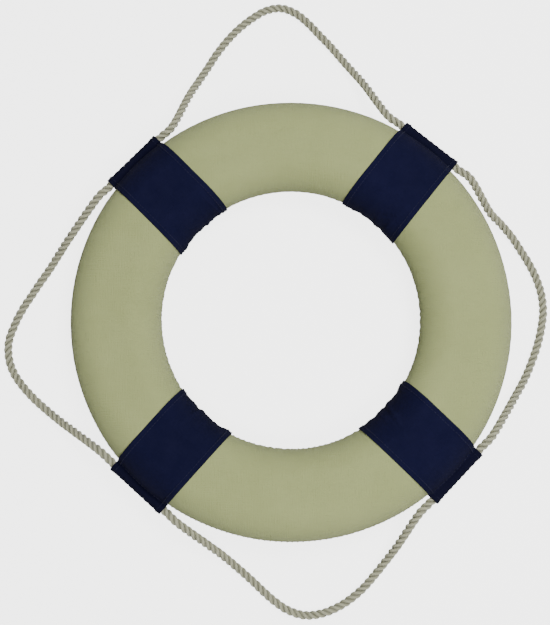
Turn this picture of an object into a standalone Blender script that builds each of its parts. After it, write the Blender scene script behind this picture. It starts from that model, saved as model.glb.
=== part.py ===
"""Ring lifebuoy: a foam ring in a sewn canvas cover, with four cloth bands that carry a grab line.

The ring lies flat. +Z is up and the origin is under its middle, on the surface that it lies on.
All lengths are in metres. A place on the ring is given by its angle about Z, counted from +X, and
a place round its section by the angle up from the section's middle height.
"""
import math

import bmesh
import bpy
from mathutils import Matrix, Vector

# The ring, measured over its canvas cover
OUTER_DIAMETER = 0.500
INNER_DIAMETER = 0.295
COVER_HEIGHT = 0.070
LAND_WIDTH = 0.030            # flat strip along the top and the bottom
CANVAS_THICKNESS = 0.0008
SEAM_THREAD_DIAMETER = 0.0008

# The cloth bands and the rope sleeves on their outer side
BAND_WIDTH = 0.074
BAND_THICKNESS = 0.0010
BAND_ANGLES = {"top_right": 51.3, "top_left": 134.9, "bottom_left": 228.0, "bottom_right": 316.2}
STITCH_DIAMETER = 0.0008
STITCH_SECTION_ANGLE = 11.0   # where the sleeve's stitching runs, just above and below the rope
STITCH_END_MARGIN = 0.004     # from the stitching's ends to the band's edges

# The grab line
ROPE_DIAMETER = 0.010
ROPE_EXIT_LENGTH = 0.020      # how far the rope runs straight on from its sleeve
JOIN_BAND = "bottom_left"     # the sleeve that hides the rope's two ends
JOIN_LENGTH = 0.030
JOIN_TAPE_THICKNESS = 0.0007
JOIN_TAPER_LENGTH = 0.004     # over which a rope end narrows into the tape

# Clearance between neighbouring pieces
GAP = 0.0003

# How finely the round shapes are divided
RING_STEPS = 60
SHOULDER_STEPS = 4
SLEEVE_SIDES = 24
SEAM_THREAD_SIDES = 5
STITCH_POINTS = 11
TAPE_SIDES = 16
CURVE_SAMPLES = 24            # between two route points, before the curve is divided evenly
ROPE_POINT_SPACING = 2.0      # in rope diameters
ROPE_BEVEL_RESOLUTION = 2
STITCH_BEVEL_RESOLUTION = 1
NOSE_ANGLES = (15.0, 35.0, 60.0)

# Worked out from the sizes above
SECTION_WIDTH = (OUTER_DIAMETER - INNER_DIAMETER) / 2
SECTION_RADIUS = (OUTER_DIAMETER + INNER_DIAMETER) / 4
SHOULDER_WIDTH = (SECTION_WIDTH - LAND_WIDTH) / 2
SHOULDER_HEIGHT = COVER_HEIGHT / 2
MIDDLE_HEIGHT = BAND_THICKNESS + GAP + SHOULDER_HEIGHT
BAND_INNER_OFFSET = GAP
BAND_OUTER_OFFSET = GAP + BAND_THICKNESS
STITCH_OFFSET = BAND_OUTER_OFFSET + GAP + STITCH_DIAMETER / 2
SEAM_HALF_GAP = SEAM_THREAD_DIAMETER / 2 + GAP
SEAM_ANGLE = math.degrees(math.asin(SEAM_HALF_GAP / SHOULDER_HEIGHT))
ROPE_RADIUS = ROPE_DIAMETER / 2
SLEEVE_BORE_RADIUS = ROPE_RADIUS + GAP
SLEEVE_OUTER_RADIUS = SLEEVE_BORE_RADIUS + BAND_THICKNESS
ROPE_LINE_RADIUS = OUTER_DIAMETER / 2 + GAP + ROPE_RADIUS
MOUTH_DISTANCE = BAND_WIDTH / 2 + GAP + ROPE_RADIUS
CUTTER_MARGIN = 0.020

# Where each loop of the grab line runs, clockwise from its first band to its second: the points
# between the straight exits. The rope falls from its sleeve to the floor and lies there.
LOOPS = {
    "top": ("top_left", "top_right", (
        (-0.120, 0.263, 0.0206), (-0.110, 0.283, 0.0108), (-0.099, 0.302, 0.0060),
        (-0.088, 0.320, 0.0052), (-0.076, 0.336, 0.0051), (-0.062, 0.351, 0.0051),
        (-0.046, 0.364, 0.0051), (-0.029, 0.374, 0.0051), (-0.011, 0.377, 0.0051),
        (0.006, 0.371, 0.0051), (0.021, 0.359, 0.0051), (0.035, 0.344, 0.0051),
        (0.049, 0.329, 0.0052), (0.062, 0.313, 0.0060), (0.075, 0.296, 0.0108),
        (0.087, 0.278, 0.0206))),
    "right": ("top_right", "bottom_right", (
        (0.231, 0.127, 0.0206), (0.246, 0.114, 0.0108), (0.260, 0.099, 0.0060),
        (0.271, 0.082, 0.0052), (0.281, 0.065, 0.0051), (0.289, 0.047, 0.0051),
        (0.294, 0.028, 0.0051), (0.295, 0.009, 0.0051), (0.292, -0.011, 0.0051),
        (0.287, -0.030, 0.0051), (0.280, -0.049, 0.0052), (0.272, -0.067, 0.0060),
        (0.261, -0.085, 0.0108), (0.249, -0.102, 0.0206))),
    "bottom": ("bottom_right", "bottom_left", (
        (0.121, -0.255, 0.0206), (0.109, -0.273, 0.0108), (0.097, -0.289, 0.0060),
        (0.084, -0.304, 0.0052), (0.069, -0.317, 0.0051), (0.053, -0.327, 0.0051),
        (0.035, -0.334, 0.0051), (0.016, -0.336, 0.0051), (-0.002, -0.331, 0.0051),
        (-0.018, -0.321, 0.0051), (-0.033, -0.308, 0.0051), (-0.047, -0.295, 0.0052),
        (-0.062, -0.282, 0.0060), (-0.077, -0.269, 0.0108), (-0.093, -0.256, 0.0206))),
    "left": ("bottom_left", "top_left", (
        (-0.249, -0.127, 0.0206), (-0.266, -0.116, 0.0108), (-0.282, -0.104, 0.0060),
        (-0.297, -0.091, 0.0052), (-0.311, -0.076, 0.0051), (-0.322, -0.060, 0.0051),
        (-0.328, -0.042, 0.0051), (-0.328, -0.023, 0.0051), (-0.322, -0.005, 0.0051),
        (-0.314, 0.012, 0.0051), (-0.304, 0.028, 0.0051), (-0.293, 0.045, 0.0052),
        (-0.282, 0.061, 0.0060), (-0.271, 0.077, 0.0108), (-0.259, 0.092, 0.0206))),
}


def clear_scene():
    """Remove every object that the scene holds."""
    for obj in list(bpy.data.objects):
        bpy.data.objects.remove(obj, do_unlink=True)


def new_collection(name):
    collection = bpy.data.collections.new(name)
    bpy.context.scene.collection.children.link(collection)
    return collection


def new_material(name, color, roughness):
    material = bpy.data.materials.new(name)
    material.use_nodes = True
    shader = material.node_tree.nodes["Principled BSDF"]
    shader.inputs["Base Color"].default_value = (*color, 1.0)
    shader.inputs["Roughness"].default_value = roughness
    shader.inputs["Metallic"].default_value = 0.0
    return material


clear_scene()
PARTS = new_collection("ring_lifebuoy")
CUTTERS = new_collection("ring_lifebuoy_cutters")


def add_object(name, data, collection):
    obj = bpy.data.objects.new(name, data)
    collection.objects.link(obj)
    return obj


def add_cutter(name, data):
    """Add an object that only cuts others."""
    cutter = add_object(name, data, CUTTERS)
    cutter.hide_render = True
    cutter.display_type = "WIRE"
    return cutter


def finish(obj, material):
    """Give a piece its material, and smooth shading where it is a mesh."""
    obj.data.materials.append(material)
    if obj.type == "MESH":
        obj.data.shade_smooth()
    return obj


# The ring's section, and shapes turned about Z

def shoulder(side, offset, angles):
    """Points (radius, height) on a rounded side of the ring's section, moved out by offset.

    side is 1 for the outer side and -1 for the hole's side. Each angle goes up from the section's
    middle height. The side is a half ellipse beside the flat lands.
    """
    points = []
    for angle in angles:
        across = math.cos(math.radians(angle))
        up = math.sin(math.radians(angle))
        normal = Vector((across / SHOULDER_WIDTH, up / SHOULDER_HEIGHT)).normalized()
        width = LAND_WIDTH / 2 + SHOULDER_WIDTH * across + offset * normal.x
        height = SHOULDER_HEIGHT * up + offset * normal.y
        points.append((SECTION_RADIUS + side * width, MIDDLE_HEIGHT + height))
    return points


def section(offset):
    """The whole section, moved out by offset, clockwise from the top."""
    step = 90.0 / SHOULDER_STEPS
    down = [90.0 - step * i for i in range(2 * SHOULDER_STEPS + 1)]
    return shoulder(1, offset, down) + shoulder(-1, offset, down[::-1])


def half_cover_section(up):
    """The section of the canvas above (up 1) or below (up -1) the seams, clockwise."""
    step = 90.0 / SHOULDER_STEPS
    rising = [SEAM_ANGLE] + [step * (i + 1) for i in range(SHOULDER_STEPS)]
    rising = [up * angle for angle in rising]
    falling = rising[::-1]
    outside = shoulder(-up, 0.0, rising) + shoulder(up, 0.0, falling)
    inside = shoulder(up, -CANVAS_THICKNESS, rising) + shoulder(-up, -CANVAS_THICKNESS, falling)
    return outside + inside


def round_section(radius, centre, sides):
    """A small circle round the point centre (radius, height), clockwise."""
    points = []
    for i in range(sides):
        angle = -2 * math.pi * i / sides
        points.append((centre[0] + radius * math.cos(angle), centre[1] + radius * math.sin(angle)))
    return points


def turned_mesh(name, profile):
    """A closed profile of (radius, height) points at +X, as edges for a Screw modifier."""
    mesh = bpy.data.meshes.new(name)
    corners = [(radius, 0.0, height) for radius, height in profile]
    edges = [(i, (i + 1) % len(corners)) for i in range(len(corners))]
    mesh.from_pydata(corners, edges, [])
    return mesh


def turn(obj, steps):
    """Sweep an object's profile once about its own Z axis."""
    screw = obj.modifiers.new("turn", "SCREW")
    screw.axis = "Z"
    screw.angle = 2 * math.pi
    screw.steps = steps
    screw.render_steps = steps
    screw.use_merge_vertices = True
    screw.merge_threshold = 0.00001
    screw.use_smooth_shade = True


def turned_part(name, profile, steps, material):
    obj = add_object(name, turned_mesh(name, profile), PARTS)
    turn(obj, steps)
    return finish(obj, material)


# Places on the bands

def band_frame(band):
    """The middle of a band's rope sleeve, its outward direction and its clockwise direction."""
    angle = math.radians(BAND_ANGLES[band])
    outward = Vector((math.cos(angle), math.sin(angle), 0.0))
    clockwise = Vector((math.sin(angle), -math.cos(angle), 0.0))
    middle = ROPE_LINE_RADIUS * outward + Vector((0.0, 0.0, MIDDLE_HEIGHT))
    return middle, outward, clockwise


def along_sleeve(band):
    """A matrix that lays an upright shape along a band's sleeve, its top end clockwise."""
    middle, outward, clockwise = band_frame(band)
    up = clockwise.cross(outward)
    turn_matrix = Matrix((up, outward, clockwise)).transposed()
    return Matrix.Translation(middle) @ turn_matrix.to_4x4()


# Tubes

def tube(name, points, radius, shares, bevel_resolution, material):
    """A round tube along points. shares gives the part of the radius that each point has."""
    curve = bpy.data.curves.new(name, "CURVE")
    curve.dimensions = "3D"
    curve.bevel_depth = radius
    curve.bevel_resolution = bevel_resolution
    curve.use_fill_caps = True
    spline = curve.splines.new("POLY")
    spline.points.add(len(points) - 1)
    for place, point, share in zip(spline.points, points, shares):
        place.co = (*point, 1.0)
        place.radius = share
    obj = add_object(name, curve, PARTS)
    return finish(obj, material)


def smooth_curve(route):
    """Many points on a smooth curve through the route's points.

    Between two points it is the cubic whose ends point along their neighbours' chord.
    """
    before = [2 * route[0] - route[1]] + route[:-1]
    after = route[1:] + [2 * route[-1] - route[-2]]
    slopes = [(b - a) / 2 for a, b in zip(before, after)]
    points = []
    for i in range(len(route) - 1):
        for j in range(CURVE_SAMPLES):
            t = j / CURVE_SAMPLES
            start_share = 2 * t**3 - 3 * t**2 + 1
            point = start_share * route[i] + (1 - start_share) * route[i + 1]
            point += (t**3 - 2 * t**2 + t) * slopes[i] + (t**3 - t**2) * slopes[i + 1]
            points.append(point)
    return points + [route[-1]]


def divide_evenly(points, spacing):
    """The same line with its points about spacing apart."""
    distances = [0.0]
    for a, b in zip(points, points[1:]):
        distances.append(distances[-1] + (b - a).length)
    count = max(2, round(distances[-1] / spacing))
    even = []
    i = 0
    for k in range(count + 1):
        wanted = distances[-1] * k / count
        while i < len(points) - 2 and distances[i + 1] < wanted:
            i += 1
        share = (wanted - distances[i]) / (distances[i + 1] - distances[i])
        even.append(points[i].lerp(points[i + 1], share))
    return even


# The pieces

def make_core_and_cover():
    """The foam ring, the two canvas halves over it, and the threads in the seams between them."""
    turned_part("foam_core", section(-CANVAS_THICKNESS - GAP), RING_STEPS, FOAM)
    turned_part("cover_front", half_cover_section(1), RING_STEPS, CANVAS)
    turned_part("cover_back", half_cover_section(-1), RING_STEPS, CANVAS)
    thread_radius = SEAM_THREAD_DIAMETER / 2
    outer = (OUTER_DIAMETER / 2 - thread_radius, MIDDLE_HEIGHT)
    inner = (INNER_DIAMETER / 2 + thread_radius, MIDDLE_HEIGHT)
    for name, centre in (("outer_seam_thread", outer), ("inner_seam_thread", inner)):
        turned_part(name, round_section(thread_radius, centre, SEAM_THREAD_SIDES), RING_STEPS, THREAD)


def cylinder_mesh(name, radius, length):
    mesh = bpy.data.meshes.new(name)
    shape = bmesh.new()
    bmesh.ops.create_cone(
        shape, cap_ends=True, segments=SLEEVE_SIDES, radius1=radius, radius2=radius, depth=length)
    shape.to_mesh(mesh)
    shape.free()
    return mesh


def block_mesh(name, size, middle):
    """A box of the given size with its middle at the given point."""
    mesh = bpy.data.meshes.new(name)
    shape = bmesh.new()
    place = Matrix.Translation(middle) @ Matrix.Diagonal((*size, 1.0))
    bmesh.ops.create_cube(shape, size=1.0, matrix=place)
    shape.to_mesh(mesh)
    shape.free()
    return mesh


def combine(obj, operation, cutter):
    boolean = obj.modifiers.new(operation.lower(), "BOOLEAN")
    boolean.operation = operation
    boolean.solver = "EXACT"
    boolean.object = cutter


def make_bands():
    """The cloth bands: a strip of the section's shell, joined to a straight sleeve and bored out."""
    sleeve_mesh = cylinder_mesh("sleeve", SLEEVE_OUTER_RADIUS, BAND_WIDTH + CUTTER_MARGIN)
    bore_mesh = cylinder_mesh("sleeve_bore", SLEEVE_BORE_RADIUS, BAND_WIDTH + 2 * CUTTER_MARGIN)
    inside = ROPE_LINE_RADIUS - SECTION_WIDTH - 2 * CUTTER_MARGIN
    outside = ROPE_LINE_RADIUS + SLEEVE_OUTER_RADIUS + CUTTER_MARGIN
    strip_mesh = block_mesh(
        "band_strip",
        (outside - inside, BAND_WIDTH, COVER_HEIGHT + 2 * CUTTER_MARGIN),
        ((outside + inside) / 2, 0.0, MIDDLE_HEIGHT))
    under_band = add_cutter("under_band", turned_mesh("under_band", section(BAND_INNER_OFFSET)))
    turn(under_band, RING_STEPS)
    for band, angle in BAND_ANGLES.items():
        shell = turned_part(f"band_{band}", section(BAND_OUTER_OFFSET), RING_STEPS, BAND_CLOTH)
        sleeve = add_cutter(f"sleeve_{band}", sleeve_mesh)
        bore = add_cutter(f"sleeve_bore_{band}", bore_mesh)
        sleeve.matrix_world = along_sleeve(band)
        bore.matrix_world = along_sleeve(band)
        strip = add_cutter(f"strip_{band}", strip_mesh)
        strip.rotation_euler.z = math.radians(angle)
        combine(shell, "UNION", sleeve)
        combine(shell, "INTERSECT", strip)
        combine(shell, "DIFFERENCE", under_band)
        combine(shell, "DIFFERENCE", bore)


def make_stitching():
    """The lines of thread that close each sleeve, one on the front and one on the back."""
    for band, angle in BAND_ANGLES.items():
        for face, section_angle in (("front", STITCH_SECTION_ANGLE), ("back", -STITCH_SECTION_ANGLE)):
            radius, height = shoulder(1, STITCH_OFFSET, [section_angle])[0]
            reach = math.asin((BAND_WIDTH / 2 - STITCH_END_MARGIN) / radius)
            points = []
            for i in range(STITCH_POINTS):
                place = math.radians(angle) + reach * (2 * i / (STITCH_POINTS - 1) - 1)
                points.append((radius * math.cos(place), radius * math.sin(place), height))
            shares = [1.0] * len(points)
            name = f"stitching_{face}_{band}"
            tube(name, points, STITCH_DIAMETER / 2, shares, STITCH_BEVEL_RESOLUTION, THREAD)


def make_rope_in_sleeves():
    """The rope's stretches inside the sleeves, and in one of them its taped ends."""
    for band in BAND_ANGLES:
        middle, _, clockwise = band_frame(band)
        half = BAND_WIDTH / 2
        if band == JOIN_BAND:
            make_join(band, middle, clockwise, half)
            continue
        points = [middle - half * clockwise, middle + half * clockwise]
        tube(f"grab_line_in_{band}", points, ROPE_RADIUS, [1.0, 1.0], ROPE_BEVEL_RESOLUTION, ROPE)


def make_join(band, middle, clockwise, half):
    """Two narrowed rope ends that meet inside a wound tape, which is as thick as the rope."""
    tape_bore = ROPE_RADIUS - JOIN_TAPE_THICKNESS
    narrow = (tape_bore - GAP) / ROPE_RADIUS
    neck = JOIN_LENGTH / 2 + GAP
    for name, side in (("grab_line_end_a", 1), ("grab_line_end_b", -1)):
        distances = (half, neck + JOIN_TAPER_LENGTH, neck, GAP / 2)
        points = [middle + side * distance * clockwise for distance in distances]
        shares = (1.0, 1.0, narrow, narrow)
        tube(name, points, ROPE_RADIUS, shares, ROPE_BEVEL_RESOLUTION, ROPE)
    half_length = JOIN_LENGTH / 2
    profile = (
        (tape_bore, half_length), (ROPE_RADIUS, half_length),
        (ROPE_RADIUS, -half_length), (tape_bore, -half_length))
    tape = turned_part("grab_line_join_tape", profile, TAPE_SIDES, THREAD)
    tape.matrix_world = along_sleeve(band)


def make_loops():
    """The four free loops of the grab line, each with rounded ends just outside its sleeves."""
    for name, (first, second, points) in LOOPS.items():
        first_middle, _, first_way = band_frame(first)
        second_middle, _, second_way = band_frame(second)
        start = first_middle + MOUTH_DISTANCE * first_way
        end = second_middle - MOUTH_DISTANCE * second_way
        route = [start, start + ROPE_EXIT_LENGTH * first_way]
        route += [Vector(point) for point in points]
        route += [end - ROPE_EXIT_LENGTH * second_way, end]
        line = divide_evenly(smooth_curve(route), ROPE_POINT_SPACING * ROPE_DIAMETER)
        start_nose = []
        end_nose = []
        for angle in NOSE_ANGLES:
            back = ROPE_RADIUS * math.cos(math.radians(angle))
            start_nose.append(start - back * first_way)
            end_nose.append(end + back * second_way)
        nose_shares = [math.sin(math.radians(angle)) for angle in NOSE_ANGLES]
        shares = nose_shares + [1.0] * len(line) + nose_shares[::-1]
        line = start_nose + line + end_nose[::-1]
        tube(f"grab_line_{name}", line, ROPE_RADIUS, shares, ROPE_BEVEL_RESOLUTION, ROPE)


FOAM = new_material("foam", (0.80, 0.80, 0.76), 0.9)
CANVAS = new_material("canvas", (0.42, 0.42, 0.26), 0.85)
BAND_CLOTH = new_material("band_cloth", (0.008, 0.010, 0.040), 0.85)
THREAD = new_material("thread", (0.03, 0.03, 0.06), 0.7)
ROPE = new_material("rope", (0.38, 0.38, 0.28), 0.85)

make_core_and_cover()
make_bands()
make_stitching()
make_rope_in_sleeves()
make_loops()
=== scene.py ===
"""Ring lifebuoy: a foam ring in a sewn canvas cover, four cloth bands and a grab line.

The cloth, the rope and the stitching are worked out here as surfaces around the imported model. All
lengths are in metres, +Z is up and the origin is under the ring's middle. Angles about Z count from
+X. Angles round the ring's section count up from its middle height, 0 at the outer rim and 180 at
the hole.
"""
import math

import bpy
import numpy as np
from bpy.props import FloatProperty, FloatVectorProperty, IntProperty, PointerProperty
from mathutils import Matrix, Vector


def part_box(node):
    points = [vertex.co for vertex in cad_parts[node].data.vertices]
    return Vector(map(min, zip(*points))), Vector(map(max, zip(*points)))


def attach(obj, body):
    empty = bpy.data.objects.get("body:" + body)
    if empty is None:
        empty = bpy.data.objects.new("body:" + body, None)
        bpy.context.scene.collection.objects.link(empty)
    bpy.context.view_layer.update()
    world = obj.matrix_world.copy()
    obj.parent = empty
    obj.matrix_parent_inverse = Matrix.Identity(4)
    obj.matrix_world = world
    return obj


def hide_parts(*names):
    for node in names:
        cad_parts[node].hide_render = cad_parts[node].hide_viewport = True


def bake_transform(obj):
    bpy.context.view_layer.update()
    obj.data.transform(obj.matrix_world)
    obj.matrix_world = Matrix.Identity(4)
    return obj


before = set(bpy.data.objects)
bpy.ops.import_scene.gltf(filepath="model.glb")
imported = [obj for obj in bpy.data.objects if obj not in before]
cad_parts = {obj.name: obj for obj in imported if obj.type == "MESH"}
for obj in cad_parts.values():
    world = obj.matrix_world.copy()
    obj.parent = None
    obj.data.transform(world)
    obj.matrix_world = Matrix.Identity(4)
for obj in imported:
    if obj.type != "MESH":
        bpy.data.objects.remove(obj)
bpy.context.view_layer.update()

bl_info = {
    "name": "Ring Lifebuoy",
    "version": (1, 0, 0),
    "blender": (4, 5, 0),
    "location": "3D View > Sidebar > Lifebuoy",
    "description": "Builds a canvas ring lifebuoy with cloth bands and a twisted grab line",
    "category": "Add Mesh",
}

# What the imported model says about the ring
COVER_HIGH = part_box("cover_front")[1]
OUTER_RADIUS = COVER_HIGH.x
COVER_TOP = COVER_HIGH.z
BAND_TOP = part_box("band_top_left")[1].z
MIDDLE_HEIGHT = BAND_TOP / 2
SHOULDER_HEIGHT = COVER_TOP - MIDDLE_HEIGHT
CLEARANCE = 0.0003

BAND_ANGLES = {"top_right": 51.3, "top_left": 134.9, "bottom_left": 228.0, "bottom_right": 316.2}
JOIN_BAND = "bottom_left"

# Each loop of the grab line runs clockwise from its first band to its second, through these points
LOOPS = {
    "top": ("top_left", "top_right", (
        (-0.120, 0.263, 0.0206), (-0.110, 0.283, 0.0108), (-0.099, 0.302, 0.0060),
        (-0.088, 0.320, 0.0052), (-0.076, 0.336, 0.0051), (-0.062, 0.351, 0.0051),
        (-0.046, 0.364, 0.0051), (-0.029, 0.374, 0.0051), (-0.011, 0.377, 0.0051),
        (0.006, 0.371, 0.0051), (0.021, 0.359, 0.0051), (0.035, 0.344, 0.0051),
        (0.049, 0.329, 0.0052), (0.062, 0.313, 0.0060), (0.075, 0.296, 0.0108),
        (0.087, 0.278, 0.0206))),
    "right": ("top_right", "bottom_right", (
        (0.231, 0.127, 0.0206), (0.246, 0.114, 0.0108), (0.260, 0.099, 0.0060),
        (0.271, 0.082, 0.0052), (0.281, 0.065, 0.0051), (0.289, 0.047, 0.0051),
        (0.294, 0.028, 0.0051), (0.295, 0.009, 0.0051), (0.292, -0.011, 0.0051),
        (0.287, -0.030, 0.0051), (0.280, -0.049, 0.0052), (0.272, -0.067, 0.0060),
        (0.261, -0.085, 0.0108), (0.249, -0.102, 0.0206))),
    "bottom": ("bottom_right", "bottom_left", (
        (0.121, -0.255, 0.0206), (0.109, -0.273, 0.0108), (0.097, -0.289, 0.0060),
        (0.084, -0.304, 0.0052), (0.069, -0.317, 0.0051), (0.053, -0.327, 0.0051),
        (0.035, -0.334, 0.0051), (0.016, -0.336, 0.0051), (-0.002, -0.331, 0.0051),
        (-0.018, -0.321, 0.0051), (-0.033, -0.308, 0.0051), (-0.047, -0.295, 0.0052),
        (-0.062, -0.282, 0.0060), (-0.077, -0.269, 0.0108), (-0.093, -0.256, 0.0206))),
    "left": ("bottom_left", "top_left", (
        (-0.249, -0.127, 0.0206), (-0.266, -0.116, 0.0108), (-0.282, -0.104, 0.0060),
        (-0.297, -0.091, 0.0052), (-0.311, -0.076, 0.0051), (-0.322, -0.060, 0.0051),
        (-0.328, -0.042, 0.0051), (-0.328, -0.023, 0.0051), (-0.322, -0.005, 0.0051),
        (-0.314, 0.012, 0.0051), (-0.304, 0.028, 0.0051), (-0.293, 0.045, 0.0052),
        (-0.282, 0.061, 0.0060), (-0.271, 0.077, 0.0108), (-0.259, 0.092, 0.0206))),
}


# Settings that a user may change

def length_setting(name, description, default):
    return FloatProperty(name=name, description=description, default=default, unit="LENGTH")


def colour_setting(name, description, default):
    return FloatVectorProperty(
        name=name, description=description, default=default, subtype="COLOR", size=3)


class LifebuoyRingSettings(bpy.types.PropertyGroup):
    """Sizes and colours of the ring's foam and canvas."""

    hole_radius: length_setting("Hole radius", "Radius of the hole, inside the canvas", 0.1475)
    land_width: length_setting(
        "Land width", "Flat strip along the top and the bottom of the section", 0.030)
    canvas_thickness: length_setting("Canvas thickness", "Thickness of the cover's canvas", 0.0008)
    gather_depth: length_setting("Gather depth", "How far the canvas puckers at the seams", 0.0011)
    stitch_pitch: length_setting(
        "Seam stitch pitch", "Distance from one seam stitch to the next", 0.0062)
    canvas_color: colour_setting("Canvas", "Colour of the clean canvas", (0.378, 0.416, 0.178))
    canvas_shade: colour_setting(
        "Canvas shade", "Colour of the canvas where it is dusty or thin", (0.322, 0.360, 0.143))
    foam_color: colour_setting("Foam", "Colour of the foam", (0.78, 0.78, 0.74))


class LifebuoyBandSettings(bpy.types.PropertyGroup):
    """Sizes and colours of the cloth bands."""

    width: length_setting("Band width", "Width of a band along the ring", 0.074)
    thickness: length_setting("Cloth thickness", "Thickness of a band's cloth", 0.0010)
    hem_width: length_setting("Hem width", "Width of the folded hem along a band's edges", 0.0065)
    hem_rise: length_setting("Hem rise", "How much the folded hem thickens the edge", 0.0005)
    wrinkle_depth: length_setting("Wrinkle depth", "Height of the wrinkles in the hole", 0.0026)
    stitch_pitch: length_setting("Stitch pitch", "Distance from one stitch to the next", 0.0040)
    cloth_color: colour_setting("Band cloth", "Colour of the bands", (0.0022, 0.0028, 0.0190))
    cloth_worn: colour_setting(
        "Worn band cloth", "Colour of the bands where they are rubbed", (0.0046, 0.0050, 0.0290))


class LifebuoyRopeSettings(bpy.types.PropertyGroup):
    """Sizes and colours of the grab line."""

    diameter: length_setting("Rope diameter", "Diameter over the three strands", 0.010)
    lay: length_setting("Lay", "Length in which a strand goes once round the rope", 0.0225)
    overlap: length_setting(
        "Sleeve overlap", "How far a loop's mesh reaches into its sleeves", 0.016)
    join_length: length_setting("Join length", "Length of the tape over the rope's ends", 0.030)
    rope_color: colour_setting("Rope", "Colour of the strands' crowns", (0.44, 0.44, 0.30))
    # Painted shade: the dark colour the rope is painted in the grooves between its strands.
    painted_groove_shade: colour_setting("Grooves", "Colour between the strands", (0.13, 0.13, 0.07))


class LifebuoyStageSettings(bpy.types.PropertyGroup):
    """The camera, the floor and the light."""

    camera_distance: length_setting("Camera distance", "From the camera to the ring", 1.2)
    camera_elevation: FloatProperty(
        name="Camera elevation", description="Height of the camera above the horizon, in degrees",
        default=84.5)
    camera_aim: FloatVectorProperty(
        name="Camera aim", description="Where the camera looks, across the ring's middle plane",
        default=(-0.0182, 0.0069), subtype="XYZ", size=2)
    lens: FloatProperty(name="Lens", description="Focal length in millimetres", default=60.7)
    light_power: FloatProperty(
        name="Light power", description="Power of the main light", default=40.0)
    sky_strength: FloatProperty(
        name="Sky strength", description="Strength of the even light", default=0.14)
    floor_color: colour_setting("Floor", "Colour of the floor", (0.90, 0.90, 0.895))
    seed: IntProperty(
        name="Seed", description="Start of the chance wrinkles and gathers", default=7)


def ring_settings():
    return bpy.context.scene.lifebuoy_ring


def band_settings():
    return bpy.context.scene.lifebuoy_bands


def rope_settings():
    return bpy.context.scene.lifebuoy_rope


# Finishes

class Value:
    """A number that a shader works out, which takes part in sums as numbers do."""

    def __init__(self, finish, socket):
        self.finish = finish
        self.socket = socket

    def _sum(self, operation, other):
        inputs = {0: self, 1: other}
        return self.finish.node("ShaderNodeMath", {"operation": operation}, inputs).value(0)

    def __add__(self, other):
        return self._sum("ADD", other)

    def __sub__(self, other):
        return self._sum("SUBTRACT", other)

    def __mul__(self, other):
        return self._sum("MULTIPLY", other)


class Made:
    """A node that has been made. value(name) is one of its outputs."""

    def __init__(self, finish, node):
        self.finish = finish
        self.shader_node = node

    def value(self, output):
        return Value(self.finish, self.shader_node.outputs[output])


class Finish:
    """One material's nodes, built round its Principled shader."""

    def __init__(self, name, roughness, sheen=0.0, shine=0.5):
        self.material = bpy.data.materials.new(name)
        self.material.use_nodes = True
        self.tree = self.material.node_tree
        self.shader = self.tree.nodes["Principled BSDF"]
        self.shader.inputs["Roughness"].default_value = roughness
        self.shader.inputs["Sheen Weight"].default_value = sheen
        self.shader.inputs["Sheen Roughness"].default_value = 0.5
        self.shader.inputs["Specular IOR Level"].default_value = shine

    def node(self, kind, settings=None, inputs=None):
        """Make one node: its settings first, then its inputs, as numbers, vectors or values."""
        node = self.tree.nodes.new(kind)
        for name, setting in (settings or {}).items():
            setattr(node, name, setting)
        for name, source in (inputs or {}).items():
            if isinstance(source, Value):
                self.tree.links.new(source.socket, node.inputs[name])
            else:
                node.inputs[name].default_value = source
        return Made(self, node)

    def feed(self, name, value):
        self.tree.links.new(value.socket, self.shader.inputs[name])

    def colour_mix(self, factor, first, second):
        """The colour that is first where the factor is 0 and second where it is 1."""
        colours = [c if isinstance(c, Value) else (*c, 1.0) for c in (first, second)]
        inputs = {0: factor, 6: colours[0], 7: colours[1]}
        return self.node("ShaderNodeMix", {"data_type": "RGBA"}, inputs).value(2)

    def noise(self, vector, scale, detail=2.0, roughness=0.5):
        inputs = {"Vector": vector, "Scale": scale, "Detail": detail, "Roughness": roughness}
        return self.node("ShaderNodeTexNoise", {}, inputs).value("Fac")

    def stretched(self, vector, scale):
        inputs = {0: vector, 1: scale}
        return self.node("ShaderNodeVectorMath", {"operation": "MULTIPLY"}, inputs).value(0)

    def range(self, value, low, high, new_low=0.0, new_high=1.0):
        inputs = {
            "Value": value, "From Min": low, "From Max": high, "To Min": new_low, "To Max": new_high}
        return self.node("ShaderNodeMapRange", {"clamp": True}, inputs).value(0)

    def place(self):
        return self.node("ShaderNodeTexCoord").value("Object")

    def cloth_place(self):
        """The piece's own map, in metres along and across the cloth."""
        return self.node("ShaderNodeUVMap", {"uv_map": "cloth"}).value("UV")

    def sine(self, value):
        return self.node("ShaderNodeMath", {"operation": "SINE"}, {0: value}).value(0)

    def split(self, vector):
        made = self.node("ShaderNodeSeparateXYZ", {}, {0: vector})
        return made.value(0), made.value(1)

    def bump(self, height, distance, strength=1.0, below=None):
        inputs = {"Height": height, "Distance": distance, "Strength": strength}
        if below is not None:
            inputs["Normal"] = below
        return self.node("ShaderNodeBump", {}, inputs).value("Normal")


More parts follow.
